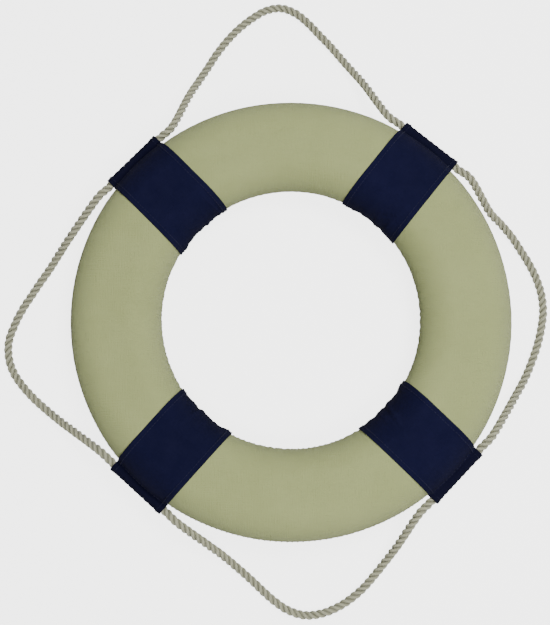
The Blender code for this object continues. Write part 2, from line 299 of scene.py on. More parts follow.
def woven_finish(
        name, clean, shade, pitch, roughness, relief, slubs, sheen, seed_offset, painted_sleeve_shade_share=1.0):
    """Plain-woven cloth: crossing threads, thick slubs along both ways, and broad uneven shade.

    The threads' height is the product of two sine waves, one thread pitch long. Slubs are noise
    drawn out along the thread. The shade mixes noise of the size of a thread, a finger and a hand.
    The last argument is the part of the colour that is left where the piece's own sleeve attribute
    is 1:
    painted shade that darkens the sleeve in place of the shadow in its creases round the rope.
    """
    finish = Finish(name, roughness, sheen, 0.12)
    place = finish.cloth_place()
    along, across = finish.split(place)
    turn = math.pi / pitch
    threads = finish.sine(along * turn) * finish.sine(across * turn)
    warp = finish.noise(finish.stretched(place, (60.0, 1100.0, 1.0)), 1.0, 2.0)
    weft = finish.noise(finish.stretched(place, (1100.0, 60.0, 1.0)), 1.0, 2.0)
    fibre = finish.noise(place, 4200.0, 2.0)
    body = finish.place()
    hand = finish.noise(finish.stretched(body, (1.0, 1.0, 1.3)), 11.0 + seed_offset, 3.0, 0.55)
    finger = finish.noise(body, 55.0 + seed_offset, 4.0, 0.6)
    streak = finish.range(warp * 0.5 + weft * 0.5, 0.30, 0.70)
    uneven = finish.range(hand * 0.55 + finger * 0.3 + streak * 0.15, 0.30, 0.70)
    colour = finish.colour_mix(uneven, shade, clean)
    speck = finish.range(threads * 0.35 + fibre, 0.25, 1.0)
    dark = tuple(0.80 * channel for channel in shade)
    colour = finish.colour_mix(speck * 0.35 + 0.65, dark, colour)
    # Painted shade: the sleeve round the rope is darkened for the shadow in its creases.
    if painted_sleeve_shade_share < 1.0:
        sleeve = finish.node("ShaderNodeAttribute", {"attribute_name": "sleeve"}).value("Fac")
        painted_sleeve_shade = tuple(painted_sleeve_shade_share * channel for channel in shade)
        colour = finish.colour_mix(sleeve * 0.85, colour, painted_sleeve_shade)
    finish.feed("Base Color", colour)
    finish.feed("Roughness", finish.range(finger, 0.3, 0.7, roughness - 0.06, roughness + 0.06))
    threads_relief = threads * 0.5 + fibre * 0.4
    normal = finish.bump(threads_relief, relief)
    normal = finish.bump(warp + weft, slubs, below=normal)
    finish.feed("Normal", normal)
    return finish.material


def rope_finish(name, crown, groove, worn):
    """Twisted strands: fine yarns that run nearly along the rope, with painted shade that darkens
    the grooves.

    The piece's map holds the length along the rope, the way round it in strands, and its own depth
    attribute is 1 on a strand's crown and 0 in a groove.
    """
    finish = Finish(name, 0.9, 0.25)
    along, around = finish.split(finish.cloth_place())
    depth = finish.node("ShaderNodeAttribute", {"attribute_name": "crown"}).value("Fac")
    yarn_way = around * 50.0 - along * 6100.0
    yarns = finish.sine(yarn_way)
    body = finish.place()
    patch = finish.noise(body, 45.0, 4.0, 0.6)
    hair = finish.noise(body, 2600.0, 3.0, 0.7)
    shade = finish.range(depth * 0.85 + yarns * 0.07 + hair * 0.16 - 0.06, 0.05, 0.95)
    # Painted shade: from the crown colour down to a dark colour in the grooves, where the strands
    # shade each other.
    colour = finish.colour_mix(shade, groove, crown)
    colour = finish.colour_mix(finish.range(patch, 0.45, 0.75, 0.0, 0.45), colour, worn)
    finish.feed("Base Color", colour)
    finish.feed("Roughness", finish.range(hair, 0.3, 0.7, 0.82, 0.98))
    normal = finish.bump(yarns * 0.5 + hair * 0.5, 0.0005)
    finish.feed("Normal", normal)
    return finish.material


def thread_finish(name, colour, light):
    """Twisted sewing thread: two tones from fine fibre noise and broader patches, with loose fibre.
    """
    finish = Finish(name, 0.7, 0.05, 0.25)
    body = finish.place()
    fibre = finish.noise(body, 3000.0, 3.0, 0.6)
    patch = finish.noise(body, 90.0, 2.0)
    pale = finish.range(fibre + patch * 0.4, 0.4, 1.0)
    finish.feed("Base Color", finish.colour_mix(pale, colour, light))
    finish.feed("Normal", finish.bump(fibre, 0.0002))
    finish.feed("Roughness", finish.range(patch, 0.3, 0.7, 0.62, 0.78))
    return finish.material


def foam_finish(name, colour):
    """Moulded bead foam: round cells a few millimetres across with fine creases between them."""
    finish = Finish(name, 0.85)
    body = finish.place()
    settings, inputs = {"feature": "DISTANCE_TO_EDGE"}, {"Vector": body, "Scale": 260.0}
    cells = finish.node("ShaderNodeTexVoronoi", settings, inputs).value("Distance")
    tone = finish.noise(body, 30.0, 3.0)
    crease = finish.range(cells, 0.0, 0.12)
    dark = tuple(0.72 * channel for channel in colour)
    dusty = tuple(0.93 * channel for channel in colour)
    light = finish.colour_mix(finish.range(tone, 0.35, 0.65), dusty, colour)
    # Painted shade: the colour darkens into the creases between the cells.
    finish.feed("Base Color", finish.colour_mix(crease, dark, light))
    finish.feed("Roughness", finish.range(tone, 0.3, 0.7, 0.78, 0.9))
    finish.feed("Normal", finish.bump(crease, 0.0004))
    return finish.material


def floor_finish(name, colour):
    """A plain pale floor, with the faintest unevenness, that glows so that shadows on it are weak.

    The glow is full towards the camera and a twenty-fifth of that towards the object.
    """
    finish = Finish(name, 0.9)
    tone = finish.noise(finish.place(), 2.5, 2.0)
    dull = tuple(0.42 * channel for channel in colour)
    paler = tuple(1.03 * channel for channel in dull)
    finish.feed("Base Color", finish.colour_mix(tone, dull, paler))
    seen = finish.node("ShaderNodeLightPath").value("Is Camera Ray")
    weak = tuple(0.04 * channel for channel in colour)
    finish.feed("Emission Color", finish.colour_mix(seen, weak, colour))
    finish.shader.inputs["Emission Strength"].default_value = 4.0
    return finish.material


# Surfaces

def surface_mesh(name, points, along, across, closed_rows=True, caps=False):
    """A mesh from a grid of points, [row, column, xyz], with the cloth map from along and across.

    The columns close on themselves, and so do the rows unless closed_rows is False. Along and
    across hold one more row or column than the points do where these close. caps puts a flat face
    over the open ends of a tube.
    """
    rows, columns = points.shape[:2]
    quad_rows = rows if closed_rows else rows - 1
    i, j = np.meshgrid(np.arange(quad_rows), np.arange(columns), indexing="ij")
    next_i = (i + 1) % rows
    next_j = (j + 1) % columns
    corners = [(i, j), (next_i, j), (next_i, next_j), (i, next_j)]
    faces = np.stack([a * columns + b for a, b in corners], axis=-1).reshape(-1, 4)
    map_corners = [(i, j), (i + 1, j), (i + 1, j + 1), (i, j + 1)]
    maps = [np.stack([along[a, b], across[a, b]], axis=-1) for a, b in map_corners]
    maps = np.stack(maps, axis=2).reshape(-1, 2)
    face_list = faces.tolist()
    if caps:
        last = (rows - 1) * columns
        face_list += [list(range(columns)), list(range(last + columns - 1, last - 1, -1))]
    mesh = bpy.data.meshes.new(name)
    mesh.from_pydata(points.reshape(-1, 3).tolist(), [], face_list)
    layer = mesh.uv_layers.new(name="cloth")
    flat = np.zeros((len(mesh.loops), 2), np.float32)
    flat[:len(maps)] = maps
    layer.data.foreach_set("uv", flat.ravel())
    mesh.update()
    mesh.shade_smooth()
    return mesh


def add_piece(name, mesh, material):
    piece = bpy.data.objects.new(name, mesh)
    bpy.context.scene.collection.objects.link(piece)
    mesh.materials.append(material)
    return piece


def section_width():
    """The radius of the section's middle and the width of a rounded shoulder."""
    ring = ring_settings()
    middle = (OUTER_RADIUS + ring.hole_radius) / 2
    shoulder = (OUTER_RADIUS - ring.hole_radius - ring.land_width) / 2
    return middle, shoulder


def on_section(angle, side, offset):
    """Radius and height of a point on the section's outline, moved out by offset.

    The outline is two half ellipses, side 1 at the outer rim and side -1 at the hole, beside flat
    lands. angle goes up from the middle height, in radians, from -pi/2 to pi/2.
    """
    middle, shoulder = section_width()
    across, up = np.cos(angle), np.sin(angle)
    normal_across, normal_up = across / shoulder, up / SHOULDER_HEIGHT
    length = np.hypot(normal_across, normal_up)
    out = ring_settings().land_width / 2 + shoulder * across + offset * normal_across / length
    radius = middle + side * out
    height = MIDDLE_HEIGHT + SHOULDER_HEIGHT * up + offset * normal_up / length
    return radius, height


def half_outline(offset, shoulder_count, land_count, seam_angle):
    """The section's upper outline from the outer rim over the top to the hole, evenly spaced.

    Returns radius and height. The shoulders' angles go up from the seam's.
    """
    angles = np.linspace(seam_angle, math.pi / 2, shoulder_count)
    radius_out, height_out = on_section(angles, 1, offset)
    radius_in, height_in = on_section(angles[::-1], -1, offset)
    land = np.linspace(0, 1, land_count + 2)[1:-1]
    radius_land = radius_out[-1] + (radius_in[0] - radius_out[-1]) * land
    height_land = np.full_like(radius_land, height_out[-1])
    radius = np.concatenate([radius_out, radius_land, radius_in])
    height = np.concatenate([height_out, height_land, height_in])
    return radius, height


def evenly(points, count):
    """count points evenly spaced along a line of points."""
    distance = length_along(points)
    wanted = np.linspace(0.0, distance[-1], count)
    return np.stack([np.interp(wanted, distance, column) for column in points.T], axis=1)


def length_along(points):
    """The distance from a line's first point to each of its points."""
    steps = np.linalg.norm(np.diff(points, axis=0), axis=1)
    return np.concatenate([[0.0], np.cumsum(steps)])


def soft_noise(shape, cells, seed):
    """Smooth chance values between -1 and 1 on a grid, from random values at cells, eased between.

    Each cell's corners hold a random number, and a value inside is their mix by the smooth step
    3t^2 - 2t^3 along both ways.
    """
    chance = np.random.default_rng(seed)
    corners = chance.uniform(-1.0, 1.0, (cells[0] + 1, cells[1] + 1))
    rows = np.linspace(0, cells[0], shape[0])
    columns = np.linspace(0, cells[1], shape[1])
    i = np.minimum(rows.astype(int), cells[0] - 1)
    j = np.minimum(columns.astype(int), cells[1] - 1)
    u = (rows - i)[:, None]
    v = (columns - j)[None, :]
    u = u * u * (3 - 2 * u)
    v = v * v * (3 - 2 * v)
    low = corners[np.ix_(i, j)] * (1 - u) + corners[np.ix_(i + 1, j)] * u
    high = corners[np.ix_(i, j + 1)] * (1 - u) + corners[np.ix_(i + 1, j + 1)] * u
    return low * (1 - v) + high * v


def smooth_step(value, low, high):
    share = np.clip((value - low) / (high - low), 0.0, 1.0)
    return share * share * (3 - 2 * share)


# Places on the bands

def band_ways(band):
    """The outward and clockwise directions at a band's middle."""
    angle = math.radians(BAND_ANGLES[band])
    outward = np.array([math.cos(angle), math.sin(angle), 0.0])
    clockwise = np.array([math.sin(angle), -math.cos(angle), 0.0])
    return outward, clockwise


def rope_line_radius():
    return OUTER_RADIUS + CLEARANCE + rope_settings().diameter / 2


def sleeve_middle(band):
    return rope_line_radius() * band_ways(band)[0] + np.array([0.0, 0.0, MIDDLE_HEIGHT])


def mouth_distance():
    """From a sleeve's middle to the end of the loop that leaves it."""
    return band_settings().width / 2 + CLEARANCE + rope_settings().diameter / 2


# The stage

SKY_SEEN = 3.0  # strength of the sky as the camera sees it


class LIFEBUOY_OT_stage(bpy.types.Operator):
    """Set up the camera, a plain pale floor and soft light"""

    bl_idname = "lifebuoy.stage"
    bl_label = "Set Up Stage"

    def execute(self, context):
        stage = context.scene.lifebuoy_stage
        aim = Vector((*stage.camera_aim, MIDDLE_HEIGHT))
        tilt = math.radians(stage.camera_elevation)
        place = aim + stage.camera_distance * Vector((0.0, -math.cos(tilt), math.sin(tilt)))
        data = bpy.data.cameras.new("camera")
        data.lens = stage.lens
        data.dof.use_dof = False
        camera = bpy.data.objects.new("camera", data)
        camera.location = place
        camera.rotation_euler = (aim - place).to_track_quat("-Z", "Y").to_euler()
        context.scene.collection.objects.link(camera)
        context.scene.camera = camera

        mesh = bpy.data.meshes.new("floor")
        size = 30.0
        corners = [(-size, -size, 0.0), (size, -size, 0.0), (size, size, 0.0), (-size, size, 0.0)]
        mesh.from_pydata(corners, [], [(0, 1, 2, 3)])
        floor = add_piece("floor", mesh, floor_finish("floor", tuple(stage.floor_color)))

        for name, spot, power, reach in (
                ("main_light", Vector((0.50, 0.60, 1.90)), 1.0, 0.8),
                ("fill_light", Vector((0.35, -0.80, 1.80)), 0.8, 0.8)):
            lamp = bpy.data.lights.new(name, "AREA")
            lamp.energy = stage.light_power * power
            lamp.shape = "DISK"
            lamp.size = reach
            holder = bpy.data.objects.new(name, lamp)
            holder.location = spot
            holder.rotation_euler = (-spot).to_track_quat("-Z", "Y").to_euler()
            context.scene.collection.objects.link(holder)

        world = bpy.data.worlds.new("studio")
        world.use_nodes = True
        background = world.node_tree.nodes["Background"]
        background.inputs["Color"].default_value = (1.0, 1.0, 1.0, 1.0)
        seen = world.node_tree.nodes.new("ShaderNodeLightPath")
        strength = world.node_tree.nodes.new("ShaderNodeMapRange")
        strength.inputs["To Min"].default_value = stage.sky_strength
        strength.inputs["To Max"].default_value = SKY_SEEN
        world.node_tree.links.new(seen.outputs["Is Camera Ray"], strength.inputs["Value"])
        world.node_tree.links.new(strength.outputs["Result"], background.inputs["Strength"])
        context.scene.world = world
        return {"FINISHED"}


# The grab line

def smooth_route(route):
    """Many points on a smooth curve through the route's points.

    Between two points it is the cubic whose ends point along their neighbours' chord.
    """
    before = np.vstack([2 * route[0] - route[1], route[:-1]])
    after = np.vstack([route[1:], 2 * route[-1] - route[-2]])
    slopes = (after - before) / 2
    t = np.linspace(0, 1, 24, endpoint=False)[None, :, None]
    share = 2 * t**3 - 3 * t**2 + 1
    points = share * route[:-1, None] + (1 - share) * route[1:, None]
    points = points + (t**3 - 2 * t**2 + t) * slopes[:-1, None] + (t**3 - t**2) * slopes[1:, None]
    return np.vstack([points.reshape(-1, 3), route[-1:]])


def loop_route(loop):
    """A loop's centreline from sleeve mouth to sleeve mouth."""
    first, second, points = LOOPS[loop]
    first_way = band_ways(first)[1]
    second_way = band_ways(second)[1]
    start = sleeve_middle(first) + mouth_distance() * first_way
    end = sleeve_middle(second) - mouth_distance() * second_way
    straight = 0.020
    middle = np.array(points)
    route = np.vstack(
        [start, start + straight * first_way, middle, end - straight * second_way, end])
    return smooth_route(route), first_way, second_way


def rope_frame(line):
    """Two directions across a line at each of its points, that don't twist along it.

    The first is the upright direction made square to the line, as the ropes never stand upright.
    """
    way = np.gradient(line, axis=0)
    way /= np.linalg.norm(way, axis=1, keepdims=True)
    up = np.array([0.0, 0.0, 1.0]) - way[:, 2:3] * way
    up /= np.linalg.norm(up, axis=1, keepdims=True)
    return up, np.cross(up, way)


def strand_outline(count, radius):
    """The section of a three-strand rope: its radius at even angles, and its depth on a strand.

    Each third is an arc of a circle of radius a = 0.52 of the rope's whose middle is d = 0.48 of it
    from the rope's, so rho = d cos(phi) + sqrt(a^2 - (d sin(phi))^2), with phi from -60 to 60.
    """
    angle = np.linspace(0, 2 * math.pi, count, endpoint=False)
    third = 2 * math.pi / 3
    phi = (angle + third / 2) % third - third / 2
    a, d = 0.52 * radius, 0.48 * radius
    rho = d * np.cos(phi) + np.sqrt(a * a - (d * np.sin(phi)) ** 2)
    low = rho.min()
    crown = (rho - low) / (rho.max() - low)
    return angle, rho, crown


def twisted_rope(name, line, material, turn_from=0.0, around=60, spacing=0.0007, taper=None):
    """A three-strand rope along a line: the strand outline, turned once about the line per lay.

    Point (s, q) is line(s) + rho(q) (cos(q + 2 pi s / lay) up + sin(q + 2 pi s / lay) side), and
    a slow chance shrinking of up to 3 per cent makes it a little uneven. taper(s) scales rho.
    """
    rope = rope_settings()
    total = length_along(line)[-1]
    step = spacing * 1.0
    rows = max(8, int(round(total / step)) + 1)
    line = evenly(line, rows)
    along = length_along(line)
    up, side = rope_frame(line)
    angle, rho, crown = strand_outline(around, rope.diameter / 2)
    cells = (max(2, int(total / 0.03)), 3)
    swell = 1.0 + 0.015 * (soft_noise((rows, around), cells, len(name)) - 1.0)
    radius = rho[None, :] * swell
    if taper is not None:
        radius = radius * taper(along)[:, None]
    turned = angle[None, :] - 2 * math.pi * (along[:, None] + turn_from) / rope.lay
    points = line[:, None, :] + radius[..., None] * (
        np.cos(turned)[..., None] * up[:, None, :] + np.sin(turned)[..., None] * side[:, None, :])
    grid_along = np.repeat(along[:, None], around + 1, axis=1)
    grid_around = np.repeat(np.linspace(0, 3, around + 1)[None, :], rows, axis=0)
    mesh = surface_mesh(name, points, grid_along, grid_around, closed_rows=False, caps=True)
    layer = mesh.attributes.new("crown", "FLOAT", "POINT")
    layer.data.foreach_set("value", np.tile(crown, rows).astype(np.float32))
    return add_piece(name, mesh, material)


class LIFEBUOY_OT_loops(bpy.types.Operator):
    """Lay the four free loops of the grab line"""

    bl_idname = "lifebuoy.loops"
    bl_label = "Build Grab Line Loops"

    def execute(self, context):
        rope = rope_settings()
        worn = (0.36, 0.355, 0.23)
        material = rope_finish("rope", tuple(rope.rope_color), tuple(rope.painted_groove_shade), worn)
        for loop in LOOPS:
            line, first_way, second_way = loop_route(loop)
            inside = mouth_distance() - band_settings().width / 2
            reach = rope.overlap + inside
            start = line[0] - reach * first_way
            end = line[-1] + reach * second_way
            whole = np.vstack([start, line, end])
            piece = twisted_rope(f"{loop}_loop", whole, material)
            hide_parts(f"grab_line_{loop}")
            chord = line[-1] - line[0]
            outward = np.cross(chord, [0.0, 0.0, 1.0])
            outward /= -np.linalg.norm(outward)
            if np.dot(outward, line[0]) < 0:
                outward = -outward
            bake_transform(piece)
        return {"FINISHED"}


class LIFEBUOY_OT_sleeve_rope(bpy.types.Operator):
    """Lay the rope inside the sleeves, with its two ends bound together in one of them"""

    bl_idname = "lifebuoy.sleeve_rope"
    bl_label = "Build Rope In Sleeves"

    def execute(self, context):
        rope = rope_settings()
        material = bpy.data.materials["rope"]
        half = band_settings().width / 2
        reach = half - rope.overlap - CLEARANCE
        for band in BAND_ANGLES:
            middle = sleeve_middle(band)
            way = band_ways(band)[1]
            if band != JOIN_BAND:
                line = np.array([middle - reach * way, middle + reach * way])
                piece = twisted_rope(f"rope_in_{band}", line, material)
                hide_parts(f"grab_line_in_{band}")
                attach(piece, "ring")
                continue
            for name, side in (("a", 1), ("b", -1)):
                line = np.array([middle + side * 0.0004 * way, middle + side * reach * way])
                narrow = 0.78
                neck = rope.join_length / 2

                def taper(along):
                    return narrow + (1 - narrow) * smooth_step(along, neck, neck + 0.004)

                piece = twisted_rope(f"rope_end_{name}", line, material, taper=taper)
                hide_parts(f"grab_line_end_{name}")
                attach(piece, "ring")
            self.wind_tape(middle, way, rope)
        return {"FINISHED"}

    def wind_tape(self, middle, way, rope):
        """Wind a tape over the two ends.

        It is a tube whose radius steps down by the tape's thickness once per winding, as a smooth
        saw wave of the length along it less the way round it, and whose bore is plain.
        """
        finish = Finish("tape", 0.6, 0.1)
        along, around = finish.split(finish.cloth_place())
        scrim = finish.sine(along * 5200.0) * finish.sine(around * 400.0)
        tone = finish.noise(finish.place(), 140.0, 3.0)
        finish.feed("Base Color", finish.colour_mix(tone, (0.24, 0.24, 0.22), (0.36, 0.36, 0.33)))
        finish.feed("Normal", finish.bump(scrim, 0.0002))
        finish.feed("Roughness", finish.range(tone, 0.3, 0.7, 0.55, 0.68))
        count, rows = 64, 110
        length = rope.join_length
        outer = rope.diameter / 2
        wall, tape, winding = 0.0009, 0.00035, 0.009
        bore = outer - wall
        s = np.linspace(-length / 2, length / 2, rows)
        q = np.linspace(0, 2 * math.pi, count, endpoint=False)
        phase = ((s[:, None] - winding * q[None, :] / (2 * math.pi)) / winding) % 1.0
        radius = outer - tape * smooth_step(phase, 0.0, 1.0) ** 2
        up = np.array([0.0, 0.0, 1.0])
        side = np.cross(up, way)
        ring = np.cos(q)[:, None] * up + np.sin(q)[:, None] * side
        outside = middle + s[:, None, None] * way + radius[..., None] * ring[None]
        inside = middle + s[::-1, None, None] * way + bore * np.repeat(ring[None], rows, axis=0)
        points = np.concatenate([outside, inside])
        total = 2 * rows
        grid_along = np.repeat(np.linspace(0, 2 * length, total + 1)[:, None], count + 1, axis=1)
        grid_around = np.linspace(0, 2 * math.pi * outer, count + 1)
        grid_around = np.repeat(grid_around[None], total + 1, axis=0)
        mesh = surface_mesh("join_tape", points, grid_along, grid_around)
        piece = add_piece("join_tape", mesh, finish.material)
        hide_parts("grab_line_join_tape")
        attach(piece, "ring")


# The ring

class LIFEBUOY_OT_foam(bpy.types.Operator):
    """Turn the foam ring"""

    bl_idname = "lifebuoy.foam"
    bl_label = "Build Foam Ring"

    def execute(self, context):
        ring = ring_settings()
        offset = -ring.canvas_thickness - CLEARANCE
        radius, height = half_outline(offset, 30, 12, 0.0)
        outline = np.stack([radius, height], axis=1)
        lower = outline[::-1][1:-1] * [1.0, -1.0] + [0.0, 2 * MIDDLE_HEIGHT]
        outline = np.vstack([outline, lower])
        points, along, across = turned(outline, 360)
        mesh = surface_mesh("foam_ring", points, along, across)
        piece = add_piece("foam_ring", mesh, foam_finish("foam", tuple(ring.foam_color)))
        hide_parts("foam_core")
        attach(piece, "ring")
        return {"FINISHED"}


def turned(outline, steps):
    """Sweep a closed outline of radius and height once about Z: radius (cos q, sin q), height."""
    q = np.linspace(0, 2 * math.pi, steps, endpoint=False)
    points = np.stack([
        outline[None, :, 0] * np.cos(q)[:, None],
        outline[None, :, 0] * np.sin(q)[:, None],
        np.repeat(outline[None, :, 1], steps, axis=0)], axis=-1)
    closed = np.vstack([outline, outline[:1]])
    across = np.repeat(length_along(closed)[None], steps + 1, axis=0)
    along = np.linspace(0, 2 * math.pi, steps + 1) * OUTER_RADIUS
    along = np.repeat(along[:, None], len(closed), axis=1)
    return points, along, across


def band_cover_share(angle, margin):
    """1 where a band lies over the cover, 0 beyond margin of its edge, at angles about Z."""
    share = np.zeros_like(angle)
    half = math.asin(band_settings().width / 2 / OUTER_RADIUS)
    for degrees in BAND_ANGLES.values():
        away = np.abs((angle - math.radians(degrees) + math.pi) % (2 * math.pi) - math.pi)
        share = np.maximum(share, 1 - smooth_step(away, half, half + margin))
    return share


class LIFEBUOY_OT_covers(bpy.types.Operator):
    """Sew the two halves of the canvas cover"""

    bl_idname = "lifebuoy.covers"
    bl_label = "Build Canvas Cover"

    def execute(self, context):
        ring = ring_settings()
        material = woven_finish(
            "canvas", tuple(ring.canvas_color), tuple(ring.canvas_shade), pitch=0.00075,
            roughness=0.88, relief=0.0004, slubs=0.0006, sheen=0.15, seed_offset=0.0)
        for name, up in (("cover_top", 1), ("cover_under", -1)):
            piece = self.half(name, up, material)
            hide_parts("cover_front" if up > 0 else "cover_back")
            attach(piece, "ring")
            outer, inner = self.cut
            2 * outer
            2 * outer
            math.pi * (outer ** 2 - inner ** 2)
        return {"FINISHED"}

    def half(self, name, up, material):
        """One half of the cover: the upper outline turned about Z, with puckers at its two edges.

        A pucker lifts the canvas by depth (1 - cos(w q)) / 2 where w q goes through 2 pi every 6 to
        14 mm of edge, and its depth fades with distance from the seam. The canvas also swells by up
        to 0.5 mm over hand-sized patches. Both fade under the bands. The lower half is the mirror
        image, with swells of its own.
        """
        ring = ring_settings()
        seam = math.asin(0.0004 / SHOULDER_HEIGHT)
        steps = 900
        shoulder_count, land_count, coarse = 36, 6, 4
        outside, inside = (
            np.stack(half_outline(offset, shoulder_count, land_count, seam), axis=1)
            for offset in (0.0, -ring.canvas_thickness))
        rows = len(outside)
        kept = np.unique(np.append(np.arange(0, rows, coarse), rows - 1))
        q = np.linspace(0, 2 * math.pi, steps, endpoint=False)
        from_outer = length_along(outside)
        from_inner = from_outer[-1] - from_outer
        seed = bpy.context.scene.lifebuoy_stage.seed
        free = 1 - band_cover_share(q, 0.09)

        def closed_noise(cells_round, cells_across, chance):
            noise = soft_noise((steps + 1, rows), (cells_round, cells_across), chance)[:-1]
            noise[-60:] += (noise[:1] - noise[-1:]) * np.linspace(0, 1, 60)[:, None]
            return noise

        def puckers(count, edge, reach, depth, chance):
            """Puckers of chance length along an edge, wandering a little with distance from it."""
            wander = closed_noise(90, 3, chance)
            strength = 0.5 + 0.5 * closed_noise(47, 1, chance + 1)
            phase = count * q[:, None] + 1.9 * wander
            fade = np.exp(-(edge / reach) ** 1.3)
            return depth * strength * fade[None, :] * (0.5 - 0.5 * np.cos(phase))

        rise = puckers(92, from_inner, 0.016, ring.gather_depth, seed)
        rise += puckers(141, from_inner, 0.006, 0.45 * ring.gather_depth, seed + 3)
        rise += puckers(118, from_outer, 0.010, 0.45 * ring.gather_depth, seed + 6)
        edge_fade = 1 - np.exp(-(np.minimum(from_outer, from_inner) / 0.008) ** 2)
        swell = closed_noise(24, 4, seed + (9 if up > 0 else 59))
        rise += 0.00025 * (1 + swell) * edge_fade[None, :]
        rise *= free[:, None]
        normal = outside - inside
        normal /= np.linalg.norm(normal, axis=1, keepdims=True)
        front = outside[None] + rise[..., None] * normal[None]
        back = inside[None] + rise[..., None] * normal[None]
        outline = np.concatenate([front, back[:, kept[::-1]]], axis=1)
        points = np.stack([
            outline[..., 0] * np.cos(q)[:, None],
            outline[..., 0] * np.sin(q)[:, None],
            MIDDLE_HEIGHT + up * (outline[..., 1] - MIDDLE_HEIGHT)], axis=-1)
        if up < 0:
            points = points[::-1]
        middle = section_width()[0]
        flat_radius = middle + from_outer[-1] / 2 - from_outer
        flat_radius = np.concatenate([flat_radius, flat_radius[kept[::-1]], flat_radius[:1]])
        closed_q = np.linspace(0, 2 * math.pi, steps + 1)[::up]
        along = flat_radius[None, :] * np.cos(closed_q)[:, None]
        across = flat_radius[None, :] * np.sin(closed_q)[:, None]
        mesh = surface_mesh(name, points, along, across)
        self.cut = (flat_radius.max(), flat_radius.min())
        return add_piece(name, mesh, material)


# Stitches

def stitches(name, middles, ways, normals, length, radius, material):
    """Separate stitches, each a small arch of thread whose ends go into the cloth.

    Along a stitch s runs from -1 to 1. Its line is middle + s length / 2 way + radius (1 - 1.6 s^2)
    normal, and its thickness is radius sqrt(1 - s^4), closed by a point at each end.
    """
    rows, around = 5, 6
    s = np.linspace(-0.86, 0.86, rows)
    q = np.linspace(0, 2 * math.pi, around, endpoint=False)
    ways = ways / np.linalg.norm(ways, axis=1, keepdims=True)
    normals = normals - np.sum(normals * ways, axis=1, keepdims=True) * ways
    normals /= np.linalg.norm(normals, axis=1, keepdims=True)
    sides = np.cross(ways, normals)

    def line(place):
        place = np.atleast_1d(place)[None, :, None]
        arch = radius * (1 - 1.6 * place**2)
        return middles[:, None] + place * length / 2 * ways[:, None] + arch * normals[:, None]

    thick = radius * np.sqrt(1 - s**4)
    ring = np.cos(q)[None, :, None] * normals[:, None] + np.sin(q)[None, :, None] * sides[:, None]
    body = line(s)[:, :, None] + thick[None, :, None, None] * ring[:, None]
    ends = line(np.array([-1.0, 1.0]))
    count = len(middles)
    points = np.concatenate([body.reshape(count, -1, 3), ends], axis=1)
    per = rows * around + 2
    i, j = np.meshgrid(np.arange(rows - 1), np.arange(around), indexing="ij")
    k = (j + 1) % around
    corners = [i * around + j, i * around + k, (i + 1) * around + k, (i + 1) * around + j]
    quads = np.stack(corners, axis=-1).reshape(-1, 4)
    j = np.arange(around)
    k = (j + 1) % around
    low = np.stack([k, j, np.full(around, rows * around)], axis=-1)
    last = (rows - 1) * around
    high = np.stack([last + j, last + k, np.full(around, rows * around + 1)], axis=-1)
    shift = (np.arange(count) * per)[:, None, None]
    faces = (quads[None] + shift).reshape(-1, 4).tolist()
    faces += (low[None] + shift).reshape(-1, 3).tolist()
    faces += (high[None] + shift).reshape(-1, 3).tolist()
    mesh = bpy.data.meshes.new(name)
    mesh.from_pydata(points.reshape(-1, 3).tolist(), [], faces)
    mesh.update()
    mesh.shade_smooth()
    return add_piece(name, mesh, material)


class LIFEBUOY_OT_seams(bpy.types.Operator):
    """Stitch the cover's two seams"""

    bl_idname = "lifebuoy.seams"
    bl_label = "Stitch Cover Seams"

    def execute(self, context):
        ring = ring_settings()
        material = thread_finish("canvas_thread", (0.30, 0.29, 0.18), (0.46, 0.45, 0.31))
        chance = np.random.default_rng(context.scene.lifebuoy_stage.seed + 20)
        for name, node, radius, side in (
                ("outer_seam_stitches", "outer_seam_thread", OUTER_RADIUS, 1),
                ("inner_seam_stitches", "inner_seam_thread", ring.hole_radius, -1)):
            count = int(2 * math.pi * radius / ring.stitch_pitch)
            q = 2 * math.pi * (np.arange(count) + 0.10 * chance.uniform(-1, 1, count)) / count
            q = q[band_cover_share(q, 0.012) < 0.01]
            outward = np.stack([np.cos(q), np.sin(q), np.zeros_like(q)], axis=1)
            clockwise = np.stack([np.sin(q), -np.cos(q), np.zeros_like(q)], axis=1)
            middles = (radius + side * 0.0001) * outward + [0, 0, MIDDLE_HEIGHT]
            slant = (0.55 + 0.12 * chance.uniform(-1, 1, len(q)))[:, None]
            ways = np.array([0.0, 0.0, 1.0]) + slant * clockwise
            piece = stitches(name, middles, ways, side * outward, 0.0046, 0.0004, material)
            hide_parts(node)
            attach(piece, "ring")
        return {"FINISHED"}


# The bands

# Rows of points in half a band: in the hole, on the flat land, at the rim up to the sleeve's
# stitches, straight on to the sleeve, and round the sleeve to its outermost point
HOLE_ROWS, LAND_ROWS, RIM_ROWS, STRAIGHT_ROWS, ARC_ROWS = 34, 12, 40, 12, 18
SLEEVE_ROW = HOLE_ROWS + LAND_ROWS + RIM_ROWS - 1
SLEEVE_STITCH_ANGLE = math.radians(8.5)
BAND_THREAD_RADIUS = 0.00032
FLOOR_GAP = 0.0001  # from the lowest cloth to what the ring lies on


